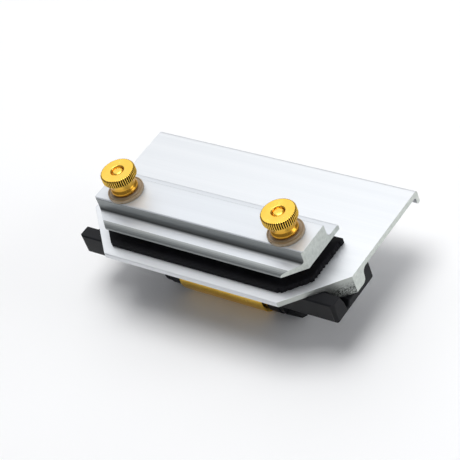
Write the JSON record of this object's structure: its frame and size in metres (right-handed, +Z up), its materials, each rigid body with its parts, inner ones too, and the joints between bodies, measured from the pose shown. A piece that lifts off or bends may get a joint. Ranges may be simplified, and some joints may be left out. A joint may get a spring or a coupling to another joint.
{
  "type": "honing guide",
  "caption": "Wide-blade honing guide: flat bed with rubber pad, clamp bar with knurled nuts, and an under-bed carrier holding a roller on an eccentric axle.",
  "frame": {"origin": "middle of the object's box, on the floor under the roller", "axes": "+X along the clamp bar, +Y back from the blade's edge towards the lip of the bed, +Z up, square to the bed"},
  "size_m": [0.127, 0.069, 0.0571],
  "materials": {
    "aluminium": "satin",
    "brass": "polished",
    "steel": "satin",
    "rubber": "matte",
    "black_plastic": "matte",
    "nylon": "satin"
  },
  "bodies": {
    "base": {"bed": "aluminium", "bed_pad": "rubber", "stud_left": "brass", "stud_right": "brass", "roller_carrier": "black_plastic", "carrier_screw_1": "steel", "carrier_screw_2": "steel", "carrier_screw_3": "steel", "carrier_screw_4": "steel"},
    "clamp": {"clamp_bar": "aluminium", "washer_left": "nylon", "washer_right": "nylon"},
    "nut_left": {"knob_left": "brass"},
    "nut_right": {"knob_right": "brass"},
    "cam": {"cam_left": "black_plastic", "cam_dial": "black_plastic", "cam_spring_washer": "steel", "roller_axle": "steel", "axle_clip_left": "steel", "axle_clip_right": "steel"},
    "roller": {"roller": "brass", "roller_bush_left": "nylon", "roller_bush_right": "nylon"}
  },
  "joints": [
    {"name": "clamp_lift", "type": "slide", "parent": "base", "child": "clamp", "axis": [0, 0, 1], "range_m": [-0.0046, 0.0052]},
    {"name": "knob_left_spin", "type": "hinge", "parent": "clamp", "child": "nut_left", "pos_m": [-0.0392, -0.0141, 0.05], "axis": [0, 0, 1], "range_deg": [-2071, 2341]},
    {"name": "knob_right_spin", "type": "hinge", "parent": "clamp", "child": "nut_right", "pos_m": [0.0392, -0.0141, 0.05], "axis": [0, 0, 1], "range_deg": [-2071, 2341]},
    {"name": "cam_turn", "type": "hinge", "parent": "base", "child": "cam", "pos_m": [0, -0.0145, 0.0072], "axis": [1, 0, 0], "range_deg": [0, 180]},
    {"name": "roller_spin", "type": "hinge", "parent": "cam", "child": "roller", "pos_m": [0, -0.0145, 0.00825], "axis": [1, 0, 0], "continuous": true}
  ],
  "couplings": [
    {"joint": "knob_left_spin", "follows": "clamp_lift", "rad_per_m": 7854},
    {"joint": "knob_right_spin", "follows": "clamp_lift", "rad_per_m": 7854}
  ]
}
